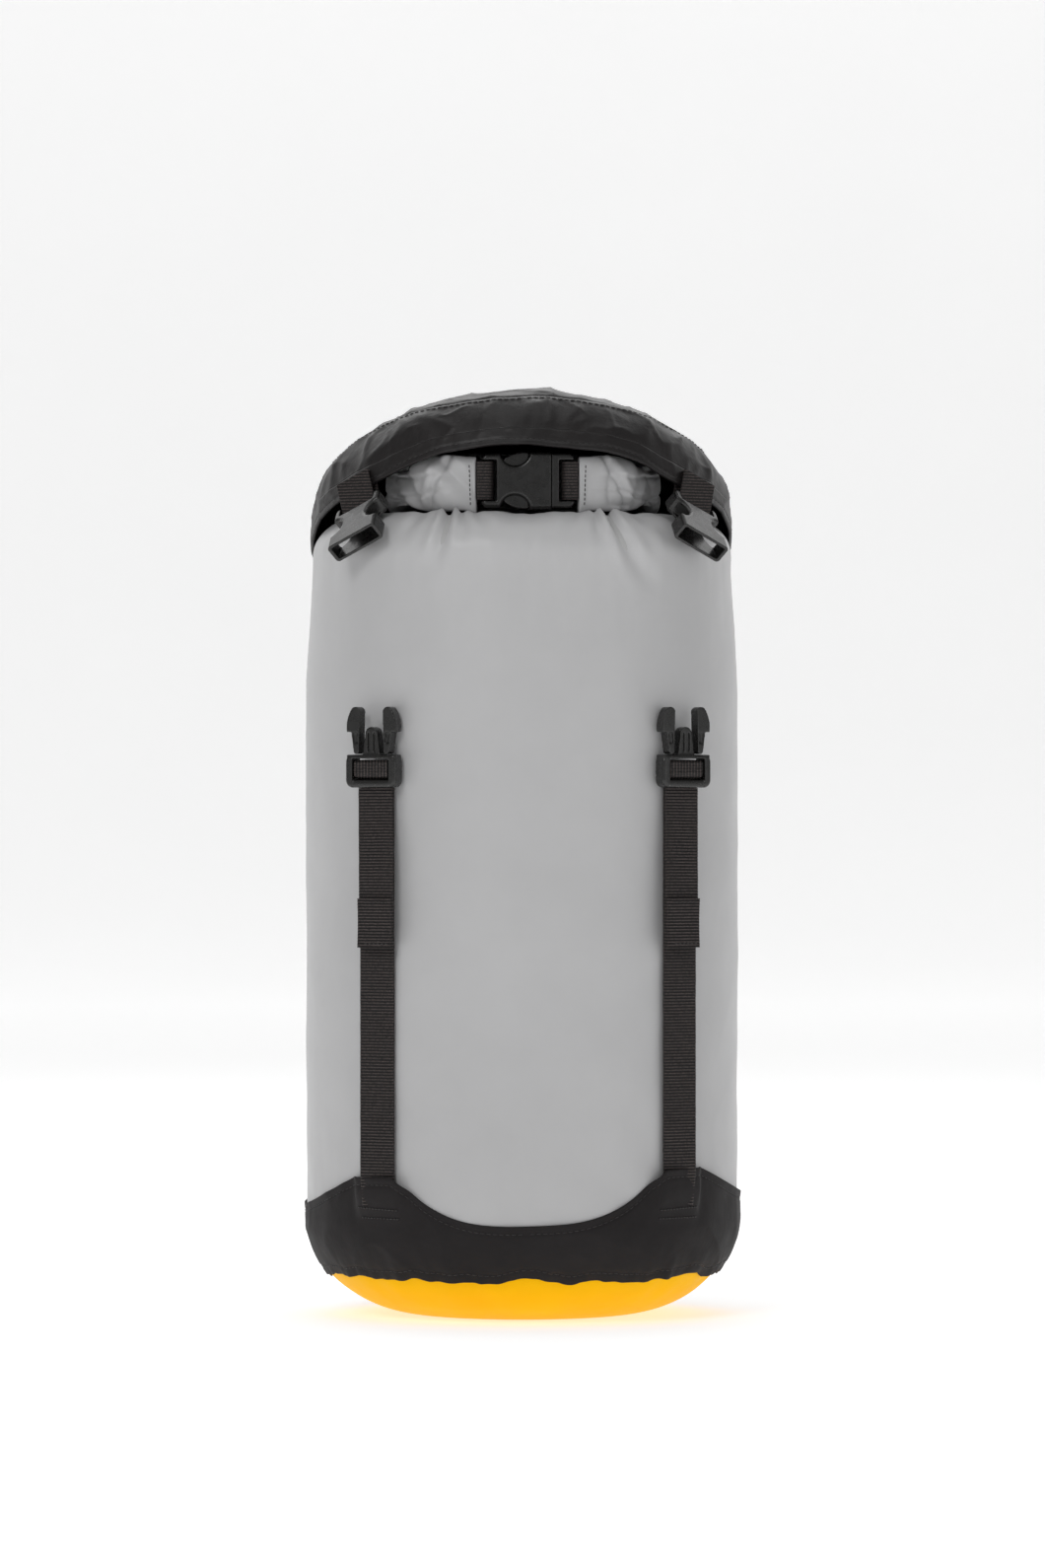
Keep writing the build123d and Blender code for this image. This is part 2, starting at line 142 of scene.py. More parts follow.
# =====================================================================================================
# Helpers
# =====================================================================================================
def clamp(x, low=0.0, high=1.0):
    return max(low, min(high, x))


def ease(low, high, x):
    """0 at low and before it, 1 at high and past it, smooth between; low may be the larger."""
    t = clamp((x - low) / (high - low))
    return t * t * (3 - 2 * t)


def bump(x, middle, width):
    """A bell of height 1."""
    return exp(-(((x - middle) / width) ** 2))


def wobble(x, y, z, size, seed=0.0):
    """Smooth noise, about -1 to 1, with features about size millimetres across."""
    return noise.noise(Vector((x / size + seed, y / size - seed, z / size + 2 * seed)))


def ridge(x, y, z, size, seed=0.0):
    """Noise with sharp crests, like the folds of crumpled cloth: 1 on a crest, 0 far from one."""
    n = abs(noise.noise(Vector((x / size + seed, y / size + seed, z / size - seed))))
    return (1 - min(1.0, 2.2 * n)) ** 3


def new_object(name, mesh):
    obj = bpy.data.objects.new(name, mesh)
    bpy.context.scene.collection.objects.link(obj)
    return obj


def build_mesh(name, points, faces):
    """A smooth-shaded object from points in millimetres."""
    mesh = bpy.data.meshes.new(name)
    mesh.from_pydata([(x * MM, y * MM, z * MM) for x, y, z in points], [], faces)
    mesh.shade_smooth()
    mesh.update()
    return new_object(name, mesh)


def grid(name, rows, columns, point, closed=False, flip=False):
    """A sheet of points: point(s, t) with s along the rows and t across them, both 0 to 1."""
    points, faces = [], []
    spans = columns if closed else columns - 1
    for i in range(rows):
        for j in range(columns):
            points.append(point(i / (rows - 1), j / spans))
    for i in range(rows - 1):
        for j in range(spans):
            a, b = i * columns + j, i * columns + (j + 1) % columns
            quad = (a, b, b + columns, a + columns)
            faces.append(quad[::-1] if flip else quad)
    return build_mesh(name, points, faces)


def apply_modifiers(obj):
    """Bake an object's modifiers into its mesh."""
    bpy.context.view_layer.update()
    depsgraph = bpy.context.evaluated_depsgraph_get()
    mesh = bpy.data.meshes.new_from_object(obj.evaluated_get(depsgraph), depsgraph=depsgraph)
    obj.modifiers.clear()
    obj.data = mesh
    mesh.shade_smooth()
    return obj


def thicken(obj, thickness):
    """Give a sheet its cloth thickness in millimetres, inwards, and close its edges."""
    solid = obj.modifiers.new("cloth", "SOLIDIFY")
    solid.thickness = thickness * MM
    solid.offset = -1.0
    solid.use_even_offset = False
    return apply_modifiers(obj)


def mend(obj, fill=None, face_out=False):
    """Fill the holes whose edges pass a test, and turn the faces outwards."""
    editing = bmesh.new()
    editing.from_mesh(obj.data)
    if fill:
        edges = [e for e in editing.edges if e.is_boundary and fill(e)]
        bmesh.ops.holes_fill(editing, edges=edges, sides=0)
    if face_out:
        bmesh.ops.recalc_face_normals(editing, faces=editing.faces)
    editing.to_mesh(obj.data)
    editing.free()


def path_lengths(path):
    """Distance from the start to each point of a path."""
    lengths = [0.0]
    for a, b in zip(path, path[1:]):
        lengths.append(lengths[-1] + (Vector(b) - Vector(a)).length)
    return lengths


def sign(x):
    return 1 if x >= 0 else -1


def rounded(x, power):
    """A sine or cosine raised to a power below 1, with its sign kept: a squarer outline."""
    return abs(x) ** power * sign(x)


def round_about(radius, angle, z):
    """A point at a radius and height; angle 0 faces the front and turns to the right."""
    return radius * sin(angle), -radius * cos(angle), z


def put_on(obj, body, mat, slot, *replaced):
    """Give a piece its material and body, and hide the CAD nodes it stands for; slot is not used."""
    obj.data.materials.clear()
    obj.data.materials.append(mat)
    if body:
        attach(obj, body)
    if replaced:
        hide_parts(*replaced)
    return obj


# =====================================================================================================
# Materials
# =====================================================================================================
class Shader:
    """A material's node tree, built a node at a time."""

    def __init__(self, name):
        self.material = bpy.data.materials.new(name)
        self.material.use_nodes = True
        self.tree = self.material.node_tree
        self.principled = self.tree.nodes["Principled BSDF"]
        self.coords = self.tree.nodes.new("ShaderNodeTexCoord").outputs["Object"]

    def node(self, kind, **values):
        made = self.tree.nodes.new("ShaderNode" + kind)
        for key, value in values.items():
            if key in made.inputs:
                made.inputs[key].default_value = value
            else:
                setattr(made, key, value)
        return made

    def link(self, output, target):
        self.tree.links.new(output, target)

    def set(self, **values):
        for key, value in values.items():
            self.principled.inputs[key.replace("_", " ")].default_value = value

    def noise(self, scale, detail=3.0, roughness=0.5):
        made = self.node("TexNoise", Scale=scale, Detail=detail, Roughness=roughness)
        self.link(self.coords, made.inputs["Vector"])
        return made.outputs["Fac"]

    def folds(self):
        """Long sharp crests that cross each other, like the creases of folded nylon."""
        made = self.node("TexNoise", Scale=21, Detail=4.0, Roughness=0.45, Distortion=0.6)
        made.noise_type = "RIDGED_MULTIFRACTAL"
        self.link(self.coords, made.inputs["Vector"])
        return made.outputs["Fac"]

    def axes(self):
        split = self.node("SeparateXYZ")
        self.link(self.coords, split.inputs[0])
        return split.outputs

    def math(self, operation, a, b=None):
        made = self.node("Math", operation=operation)
        for index, value in enumerate((a, b)):
            if value is None:
                continue
            if isinstance(value, (int, float)):
                made.inputs[index].default_value = value
            else:
                self.link(value, made.inputs[index])
        return made.outputs[0]

    def ramp(self, factor, stops):
        made = self.node("ValToRGB")
        elements = made.color_ramp.elements
        while len(elements) < len(stops):
            elements.new(0.5)
        for element, (position, colour) in zip(elements, stops):
            element.position = position
            element.color = (*colour, 1)
        self.link(factor, made.inputs["Fac"])
        return made.outputs["Color"]

    def bumps(self, *layers):
        """Chain bump layers, each (height, strength, distance in millimetres)."""
        normal = None
        for height, strength, distance in layers:
            made = self.node("Bump", Strength=strength, Distance=distance * MM)
            self.link(height, made.inputs["Height"])
            if normal:
                self.link(normal, made.inputs["Normal"])
            normal = made.outputs["Normal"]
        self.link(normal, self.principled.inputs["Normal"])

    def weave(self, pitch, around=0.0):
        """Over and under of a plain weave, pitch in millimetres, wrapped round +Z at a radius if given."""
        x, y, z = self.axes()
        if around:
            across = self.math("MULTIPLY", self.math("ARCTAN2", y, x), around * MM)
        else:
            across = self.math("ADD", x, y)
        return self.math("MULTIPLY", self.wave(across, pitch), self.wave(z, pitch))

    def wave(self, along, pitch):
        """Sine of a place in metres, with a pitch in millimetres."""
        return self.math("SINE", self.math("MULTIPLY", along, tau / (pitch * MM)))

    def uneven_roughness(self, texture, spread, low):
        """Roughness that runs from low to low + spread with a texture."""
        value = self.math("ADD", self.math("MULTIPLY", texture, spread), low)
        self.link(value, self.principled.inputs["Roughness"])

    def colour(self, factor, stops):
        self.link(self.ramp(factor, stops), self.principled.inputs["Base Color"])


def tint(colour, factor):
    return tuple(min(1.0, c * factor) for c in colour)


def cloth_material(
    name,
    colour,
    roughness,
    pitch,
    around=0.0,
    crumple=0.25,
    sheen=0.15,
    spread=0.08,
    gloss=0.5,
    folds=0.0,
):
    """Woven nylon: a fine weave, small soft dents and fold marks, and slow changes of shade."""
    s = Shader(name)
    slow = s.noise(28, 4, 0.6)
    s.colour(slow, [(0.3, tint(colour, 1 - spread)), (0.7, tint(colour, 1 + spread))])
    s.uneven_roughness(s.noise(160, 3), 0.14, roughness - 0.07)
    s.set(Sheen_Weight=sheen, Sheen_Roughness=0.4, Specular_IOR_Level=gloss)
    s.bumps(
        *([(s.folds(), folds, 1.6)] if folds else []),
        (s.noise(55, 5, 0.62), crumple, 1.2),
        (s.noise(420, 2), 0.12, 0.12),
        (s.weave(pitch, around), 0.10, 0.03),
    )
    return s.material


def webbing_material(name, colour, axis):
    """Ribbed webbing: the ribs' shape is in the mesh; a painted highlight on their crests and the yarns'
    uneven tone are here.

    axis is the one the ribs follow each other along, 0 for X and 2 for Z.
    """
    s = Shader(name)
    yarn = s.noise(1500, 2, 0.6)
    # Painted highlight: the colour lightens strongly on each rib's crest and in bright yarn specks, over the
    # yarns' own uneven tone.
    crest = s.math("ADD", s.math("MULTIPLY", s.wave(s.axes()[axis], RIB), 0.34), yarn)
    stops = ((0.36, 0.35), (0.62, 1.6), (0.82, 6.5))
    s.colour(crest, [(place, tint(colour, factor)) for place, factor in stops])
    s.uneven_roughness(s.noise(900, 2), 0.25, 0.48)
    s.set(Sheen_Weight=0.03, Sheen_Roughness=0.5, Specular_IOR_Level=0.3)
    s.bumps((yarn, 0.5, 0.12), (s.weave(0.9), 0.35, 0.1))
    return s.material


def plastic_material(name, colour, roughness):
    """Moulded acetal: a faint texture, small flow marks, slightly worn gloss."""
    s = Shader(name)
    s.colour(s.noise(90, 4), [(0.3, tint(colour, 0.85)), (0.75, tint(colour, 1.25))])
    s.uneven_roughness(s.noise(300, 4), 0.22, roughness - 0.1)
    s.set(Specular_IOR_Level=0.55)
    s.bumps((s.noise(2600, 2), 0.18, 0.04), (s.noise(150, 2), 0.15, 0.25))
    return s.material


GREY_NYLON = (0.47, 0.47, 0.475)
WEBBING_BLACK = (0.0095, 0.0074, 0.0070)
GREY = cloth_material(
    "grey_nylon", GREY_NYLON, 0.42, 0.5, around=SACK_R, crumple=0.10, sheen=0.1, spread=0.025
)
GREY_ROLL = cloth_material("grey_nylon_roll", GREY_NYLON, 0.40, 0.5, crumple=0.3, sheen=0.1, spread=0.05)
BLACK = cloth_material(
    "black_nylon",
    (0.0105, 0.0090, 0.0090),
    0.42,
    0.45,
    crumple=0.6,
    sheen=0.0,
    spread=0.2,
    gloss=0.34,
    folds=0.5,
)
BLACK_BAND = cloth_material(
    "black_nylon_band",
    (0.0160, 0.0142, 0.0146),
    0.62,
    0.45,
    crumple=0.4,
    sheen=0.0,
    spread=0.15,
    gloss=0.14,
    folds=0.2,
)
YELLOW = cloth_material(
    "yellow_coated", (1.0, 0.53, 0.0), 0.5, 0.5, crumple=0.3, sheen=0.0, spread=0.04, gloss=0.06
)
WEBBING = webbing_material("black_webbing", WEBBING_BLACK, 2)
WEBBING_ACROSS = webbing_material("black_webbing_across", WEBBING_BLACK, 0)
PLASTIC = plastic_material("black_acetal", (0.0085, 0.0082, 0.0078), 0.27)
THREAD = plastic_material("black_thread", (0.022, 0.020, 0.020), 0.6)
HIDDEN = cloth_material("filling_cloth", (0.4, 0.4, 0.4), 0.7, 0.8)


# =====================================================================================================
# Sack: tube, base panel, base band
# =====================================================================================================
FLAT_STEPS = 12


def sack_profile():
    """The tube's outline, (radius, height) from the middle of the base to the middle of the top."""
    line = [(BASE_FLAT * k / FLAT_STEPS, 0.0) for k in range(FLAT_STEPS)]
    for k in range(60):
        a = pi / 2 * k / 60
        line.append((BASE_FLAT + (SACK_R - BASE_FLAT) * sin(a), BASE_RISE * (1 - cos(a))))
    line += [(SACK_R, BASE_RISE + (TAPER_START - BASE_RISE) * k / 60) for k in range(60)]
    low = SACK_TOP - SHOULDER_DROP
    for k in range(24):
        t = k / 24
        radius = SACK_R - (SACK_R - SHOULDER_R) * ease(0, 1, t)
        line.append((radius, TAPER_START + (low - TAPER_START) * t))
    for k in range(25):
        a = pi / 2 * k / 24
        line.append((SHOULDER_R - SHOULDER_REACH * (1 - cos(a)), low + SHOULDER_DROP * sin(a)))
    line += [((SHOULDER_R - SHOULDER_REACH) * (1 - k / 16), SACK_TOP) for k in range(1, 17)]
    return line


PROFILE = sack_profile()
LENGTHS = [0.0]
for (r0, z0), (r1, z1) in zip(PROFILE, PROFILE[1:]):
    LENGTHS.append(LENGTHS[-1] + hypot(r1 - r0, z1 - z0))


def on_profile(distance):
    """Radius, height and outward direction at a distance along the outline."""
    low, high = 0, len(LENGTHS) - 1
    while high - low > 1:
        middle = (low + high) // 2
        if LENGTHS[middle] <= distance:
            low = middle
        else:
            high = middle
    span = LENGTHS[high] - LENGTHS[low]
    t = clamp((distance - LENGTHS[low]) / span) if span else 0
    (r0, z0), (r1, z1) = PROFILE[low], PROFILE[high]
    dr, dz = (r1 - r0) / span, (z1 - z0) / span
    return r0 + t * (r1 - r0), z0 + t * (z1 - z0), dz, -dr


def length_at(height):
    """Distance along the outline, from the edge of its flat patch on, at which it reaches a height."""
    for k in range(FLAT_STEPS, len(PROFILE) - 1):
        if PROFILE[k][1] <= height <= PROFILE[k + 1][1] and PROFILE[k + 1][1] > PROFILE[k][1]:
            t = (height - PROFILE[k][1]) / (PROFILE[k + 1][1] - PROFILE[k][1])
            return LENGTHS[k] + t * (LENGTHS[k + 1] - LENGTHS[k])
    return LENGTHS[-1]


# Creases that run down from the ends of the roll: x and z of both ends, depth and width. Each one
# fades out at CREASE_END of its length.
CREASE_END = 1.2
CREASES = [
    (-31, 336, -39, 311, 3.4, 1.7),
    (-27, 336, -27, 322, 1.2, 1.3),
    (-38, 337, -56, 318, 1.1, 1.8),
    (-24, 336, -14, 322, 0.7, 1.6),
    (30, 336, 47, 306, 3.4, 1.9),
    (36, 338, 58, 322, 1.2, 1.7),
    (27, 336, 29, 318, 1.0, 1.4),
    (23, 336, 13, 324, 0.6, 1.6),
    (66, 332, 82, 309, 1.3, 2.2),
    (72, 330, 84, 318, 0.9, 1.4),
    (-66, 334, -78, 315, 0.9, 2.0),
]


def creases(x, z):
    """Depth of the front's creases: each is sharp at the top and fades out downwards."""
    total = 0.0
    for x0, z0, x1, z1, depth, width in CREASES:
        dx, dz = x1 - x0, z1 - z0
        t = clamp(((x - x0) * dx + (z - z0) * dz) / (dx * dx + dz * dz), 0, CREASE_END)
        away = hypot(x - x0 - t * dx, z - z0 - t * dz)
        fade = 1 - t / CREASE_END
        spread = width * (0.6 + t)
        total += depth * fade * (0.5 * bump(away, 2.1 * spread, spread) - bump(away, 0, spread))
    return total


def sack_relief(x, y, z):
    """How far the stuffed cloth stands in or out of its plain shape."""
    angle = atan2(y, x)
    rise = 1.0 * wobble(x, y, z * 0.6, 55, 3.1) + 0.35 * wobble(x, y, z, 22, 7.7)
    near_top = ease(262, SACK_TOP, z)
    pull = noise.noise(Vector((angle * 6, 0.4 * z / 30, 4.0)))
    pull += 0.5 * noise.noise(Vector((angle * 15, z / 45, 9.0)))
    rise += near_top * 0.75 * pull * (0.35 + 0.65 * ease(84, 60, abs(x)))
    near_band = 1 - ease(BAND_PEAK - 10, BAND_PEAK + 40, z)
    rise += near_band * 0.35 * noise.noise(Vector((angle * 11, z / 24, 2.0)))
    rise += 0.10 * ridge(x, y, z, 30, 5.5)
    if y < 0:
        rise += creases(x, z)
    return rise


def off_profile(distance, angle, relief):
    """A point of the sack at a distance along its outline, moved out by a relief(x, y, z)."""
    radius, z, nr, nz = on_profile(distance)
    off = relief(*round_about(radius, angle, z))
    return round_about(radius + nr * off, angle, z + nz * off)


TUBE_LOW = length_at(BASE_SEAM)
TUBE_HIGH = LENGTHS[-1] - 30  # inside the roll
tube = grid(
    "sack_tube_cloth",
    230,
    AROUND,
    lambda s, t: off_profile(TUBE_LOW + s * (TUBE_HIGH - TUBE_LOW), t * tau, sack_relief),
    closed=True,
)
thicken(tube, 0.4)
put_on(tube, "sack", GREY, "body_nylon", "sack_tube")


BASE_START = 4.0  # radius of the first ring of the base, whose middle is filled
BASE_TUCK = 1.0  # how far the base runs on under the tube


def base_point(s, t):
    """The coated base panel, gathered a little towards the band's hem."""
    angle = t * tau

    def relief(x, y, z):
        gathers = 0.7 * noise.noise(Vector((4.2 * cos(angle), 4.2 * sin(angle), z / 40)))
        gathers += 0.45 * noise.noise(Vector((11 * cos(angle), 11 * sin(angle), z / 25)))
        return ease(3, 16, z) * (gathers - 0.3)

    return off_profile(BASE_START + s * (TUBE_LOW + BASE_TUCK - BASE_START), angle, relief)


base = grid("base_panel_cloth", 60, AROUND, base_point, closed=True)
mend(base, fill=lambda edge: edge.verts[0].co.z < 5 * MM)
thicken(base, 0.5)
put_on(base, "sack", YELLOW, "base_coated", "base_panel")


def band_top(x, y):
    """Height of the band's upper edge: peaks at the straps, dips between them."""
    front = BAND_FRONT_DIP + (BAND_PEAK - BAND_FRONT_DIP) * clamp(abs(x) / 53.5) ** 3.2
    side = BAND_SIDE_DIP + (BAND_PEAK - BAND_SIDE_DIP) * clamp(abs(y) / 57.0) ** 2.0
    uneven = 2.4 * x / SACK_R  # it is sewn on a little higher at the right
    return min(front, side) + uneven


def over_strap(x, y):
    """1 where the band lies over a strap's sewn end, 0 away from it."""
    facing = abs(x) * sin(STRAP_FACING) + abs(y) * cos(STRAP_FACING)
    beside = abs(x) * cos(STRAP_FACING) - abs(y) * sin(STRAP_FACING) - STRAP_OFFSET
    return ease(14.5, 9.4, abs(beside)) * (facing > 0)


def band_hem(angle):
    """Height of the band's wavy lower hem, which is lower at the back."""
    wave = noise.noise(Vector((5.5 * cos(angle), 5.5 * sin(angle), 1.0)))
    wave += 0.4 * noise.noise(Vector((13 * cos(angle), 13 * sin(angle), 5.0)))
    rear = ease(0.2, -0.6, cos(angle))
    return BAND_HEM + 2.3 * wave - 7.5 * rear


def band_relief(x, y, z, top, hem):
    """Folds of the band: puckers along both hems and loose creases between them."""
    angle = atan2(x, -y)
    low = bump(z, hem, 7.0)
    fold = noise.noise(Vector((9 * cos(angle), 9 * sin(angle), 3.0)))
    fold2 = noise.noise(Vector((24 * cos(angle), 24 * sin(angle), z / 18)))
    rise = 0.9 * low * fold + 0.5 * low * fold2
    rise += 0.5 * ridge(x, y, z, 26, 1.3) + 0.35 * wobble(x, y, z, 12, 2.2)
    return rise + 3.6 * over_strap(x, y) * ease(40, 56, z)


BAND_OUT, BAND_LEAST = 1.0, 0.75  # how far the band's face stands off the tube, and the least it may


def band_edges(angle):
    """Heights of the band's upper edge and lower hem."""
    x, y, _ = round_about(SACK_R, angle, 0)
    return band_top(x, y), band_hem(angle)


def band_point(s, t):
    angle = t * tau
    top, hem = band_edges(angle)

    def relief(x, y, z):
        edge = bump(z, top, 1.2) + bump(z, hem, 1.2)
        inset = 0.35 * (bump(z, top - HEM_STITCH_IN, 0.8) + bump(z, hem + HEM_STITCH_IN, 0.8))
        return max(BAND_OUT + band_relief(x, y, z, top, hem) + 0.15 * edge - inset, BAND_LEAST)

    return off_profile(length_at(hem + s * (top - hem)), angle, relief)


band = grid("base_band_cloth", 64, AROUND, band_point, closed=True)
thicken(band, 0.7)
put_on(band, "sack", BLACK_BAND, "lid_nylon", "base_band")


# =====================================================================================================
# Stitching and webbing
# =====================================================================================================
def stitches(name, path, pitch, length, body, normal, thick=0.32, mat=THREAD, slot="webbing"):
    """Thread stitches as small rounded bars along a path of points; normal gives the way out of the cloth."""
    points, faces = [], []
    lengths = path_lengths(path)
    sides = 6
    rings = ((-0.5, 0.35), (-0.3, 0.95), (0, 1.1), (0.3, 0.95), (0.5, 0.35))

    def along(distance):
        for k in range(len(path) - 1):
            if lengths[k + 1] >= distance:
                span = max(1e-9, lengths[k + 1] - lengths[k])
                return Vector(path[k]).lerp(Vector(path[k + 1]), (distance - lengths[k]) / span)
        return Vector(path[-1])

    count = max(1, int(lengths[-1] / pitch))
    for k in range(count):
        start = along(k * pitch)
        end = along(min(lengths[-1], k * pitch + length))
        if (end - start).length < 0.3 * length:
            continue
        middle = (start + end) / 2
        direction = (end - start).normalized()
        out = Vector(normal(middle)).normalized()
        across = direction.cross(out).normalized()
        first = len(points)
        for u, size in rings:
            lift = 0.25 * thick * (1 - (2 * u) ** 2) - 0.1 * thick
            radius = size * thick / 2
            for q in range(sides):
                a = q * tau / sides
                point = middle + direction * (u * length)
                points.append(tuple(point + across * (cos(a) * radius) + out * (sin(a) * radius + lift)))
        last = first + (len(rings) - 1) * sides
        for ring in range(first, last, sides):
            for q in range(sides):
                a, b = ring + q, ring + (q + 1) % sides
                faces.append((a, b, b + sides, a + sides))
        faces.append(tuple(first + q for q in reversed(range(sides))))
        faces.append(tuple(last + q for q in range(sides)))
    return put_on(build_mesh(name, points, faces), body, mat, slot)


class Frame:
    """Axes on a strap or a buckle: u along, v across, w out of its face."""

    def __init__(self, origin, u, w):
        self.o, self.u, self.w = Vector(origin), Vector(u).normalized(), Vector(w).normalized()
        self.v = self.w.cross(self.u)

    def at(self, u, v, w):
        return self.o + self.u * u + self.v * v + self.w * w


def strap_frame(side, end):
    normal = Vector((side * sin(STRAP_FACING), end * cos(STRAP_FACING), 0))
    along = Vector((side * cos(STRAP_FACING), -end * sin(STRAP_FACING), 0))
    return Frame(normal * (SACK_R + STRAP_STANDOFF) + along * STRAP_OFFSET, (0, 0, 1), normal)


def web_section(t):
    """Closed outline of webbing, across and out: flat faces with rounded selvedges."""
    return WEB / 2 * rounded(cos(t * tau), 0.28), WEB_THICK / 2 * rounded(sin(t * tau), 0.45)


def webbing(name, path, body, replaced=()):
    """Ribbed webbing along a path: (middle point, way out) pairs in millimetres."""
    lengths = path_lengths([point for point, _ in path])
    total = lengths[-1]
    rows = max(8, int(total / RIB * 4))
    columns = 28
    rib_height, selvedge = 0.34, 1.1
    points, faces = [], []
    k = 0
    for i in range(rows + 1):
        distance = total * i / rows
        while k < len(path) - 2 and lengths[k + 1] < distance:
            k += 1
        span = max(1e-9, lengths[k + 1] - lengths[k])
        t = clamp((distance - lengths[k]) / span)
        middle = Vector(path[k][0]).lerp(Vector(path[k + 1][0]), t)
        out = Vector(path[k][1]).lerp(Vector(path[k + 1][1]), t).normalized()
        direction = (Vector(path[k + 1][0]) - Vector(path[k][0])).normalized()
        across = out.cross(direction).normalized()
        rib = 0.5 + 0.5 * cos(tau * distance / RIB)
        for j in range(columns):
            x, w = web_section(j / columns)
            face = clamp(abs(w) / (WEB_THICK / 2))
            wave = 0.10 * noise.noise(Vector((distance / 9, x / 12, 3.3)))
            w += sign(w) * rib_height * (rib - 0.5) * face
            x *= 1 + 0.006 * noise.noise(Vector((distance / 3, 1.5 * sign(x), 0)))
            if abs(x) > WEB / 2 - selvedge:
                w *= 1.0 + 0.12 * rib
            points.append(tuple(middle + across * x + out * (w + wave)))
    for i in range(rows):
        for j in range(columns):
            a, b = i * columns + j, i * columns + (j + 1) % columns
            faces.append((a, b, b + columns, a + columns))
    faces.append(tuple(reversed(range(columns))))
    faces.append(tuple(rows * columns + j for j in range(columns)))
    obj = build_mesh(name, points, faces)
    mend(obj, face_out=True)
    run = Vector(path[-1][0]) - Vector(path[0][0])
    material = WEBBING_ACROSS if abs(run.x) > 2 * abs(run.z) else WEBBING
    return put_on(obj, body, material, "webbing", *replaced)


def straight(f, low, high, w):
    """Path of webbing straight up a strap's frame."""
    return [(f.at(u, 0, w), f.w) for u in (low, (low + high) / 2, high)]


def wrap_path(f, mouth):
    """Webbing up the back of the ladder, over its locking bar and back down under the lip."""
    mid = MALE_THICK / 2
    back = -mid + WEB_THICK / 2
    tail = back + WEB_THICK + LAYER_SLIP
    corners = [  # up from the mouth plane, and out from the buckle's middle
        (-LADDER_LOW, back),
        (-3.2, back),
        (-2.9, back + 0.6),
        (-2.9, 1.9),
        (-3.4, 2.5),
        (-8.1, 2.5),
        (-8.7, 1.9),
        (-8.7, tail + 0.6),
        (-9.1, tail),
        (-LADDER_LOW, tail),
    ]
    path = []
    for k, (u, w) in enumerate(corners):
        before, after = corners[max(0, k - 1)], corners[min(len(corners) - 1, k + 1)]
        du, dw = after[0] - before[0], after[1] - before[1]
        size = hypot(du, dw)
        way = f.w * (du / size) - f.u * (dw / size)
        path.append((f.at(mouth + u, 0, mid + w), way))
    return path


def join(obj, f, low_body, high_body, low, high):
    """Let webbing turn from one body to the next between two heights, or ride when they are the same."""
    if low_body == high_body:
        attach(obj, low_body)
        return
    start, end = (tuple(f.at(height, 0, 0) * MM) for height in (low, high))
    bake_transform(obj, low_body, high_body, start=start, end=end)


def strap_pieces(side, end, name, mouth, tail_length):
    """All the webbing of one strap, and its stitching."""
    f = strap_frame(side, end)
    low = mouth - LADDER_LOW
    front = end < 0
    strap_body = name + "_strap" if front else "sack"
    buckle_body = name + "_buckle"
    end_body = name + "_tail_end" if front else buckle_body
    mid = WEB_THICK / 2
    tail_low = low - tail_length
    root = [(f.at(BAND_PEAK - 14, 0, mid - 2.2), f.w), (f.at(BAND_PEAK - 4, 0, mid - 0.6), f.w)]
    root += straight(f, BAND_PEAK, ROOT_TOP, mid)
    rooted = webbing(name + "_webbing_root", root, None, [name + "_strap"])
    join(rooted, f, "sack", strap_body, BAND_PEAK - 7, BAND_PEAK + 9)
    run = straight(f, ROOT_TOP, low, mid)
    standing = webbing(name + "_standing_webbing", run, None, [name + "_strap"])
    join(standing, f, strap_body, buckle_body, ROOT_TOP + 6, low - 8)
    webbing(name + "_wrap_webbing", wrap_path(f, mouth), buckle_body, [name + "_strap_wrap"])

    # A front tail hangs loose: it drifts sideways and stands off, clear of the band when it is drawn down.
    shift, proud = (1.9 * side, 3.1) if front else (0.0, 0.9)
    tail_w = mid + WEB_THICK + LAYER_SLIP
    tail = []
    for k in range(13):
        t = k / 12
        loose = ease(0, 1, t)
        tail.append((f.at(low - tail_length * t, shift * loose, tail_w + proud * loose), f.w))
    hanging = webbing(name + "_tail_webbing", tail, None, [name + "_strap_tail"])
    join(hanging, f, buckle_body, end_body, low - 6, tail_low)
    end_w = tail_w + proud
    turned = []
    for k in range(9):
        t = k / 8
        turned.append((f.at(tail_low - TAIL_FOLD * t, shift, end_w - 0.4 * sin(pi * t)), f.w))
    webbing(name + "_tail_end_lower", turned, end_body, [name + "_tail_end"])
    over = [(point + f.w * (WEB_THICK + 0.15), way) for point, way in turned]
    webbing(name + "_tail_end_fold", over, end_body, [name + "_tail_end"])
    face = end_w + WEB_THICK * 1.5 + 0.05
    for k, u in enumerate((tail_low - 1.6, tail_low - TAIL_FOLD + 1.6)):
        row = [f.at(u, shift - 6.4, face), f.at(u, shift + 6.4, face)]
        bar_name = f"{name}_tail_end_stitch_{k}"
        stitches(bar_name, row, BAR_PITCH, BAR_LENGTH, end_body, lambda p, w=f.w: w, thick=BAR_THREAD)


for side, label in ((-1, "left"), (1, "right")):
    strap_pieces(side, -1, "front_" + label, FRONT_MOUTH, FRONT_TAIL)
    strap_pieces(side, 1, "rear_" + label, REAR_MOUTH, REAR_TAIL)


def skin_point(x, z, end, out):
    """A point on the band's front (end -1) or back (1), at a height and a distance sideways."""
    radius, _, nr, nz = on_profile(length_at(z))
    angle = atan2(x, sqrt(max(0.0, radius * radius - x * x)))
    top = band_top(x, -sqrt(max(0, SACK_R**2 - x * x)))
    y = radius * cos(angle) * end
    off = out + max(0.0, band_relief(x, y, z, top, BAND_HEM))
    return (radius + nr * off) * sin(angle), (radius + nr * off) * cos(angle) * end, z + nz * off


def radial(point):
    return Vector((point.x, point.y, 0))


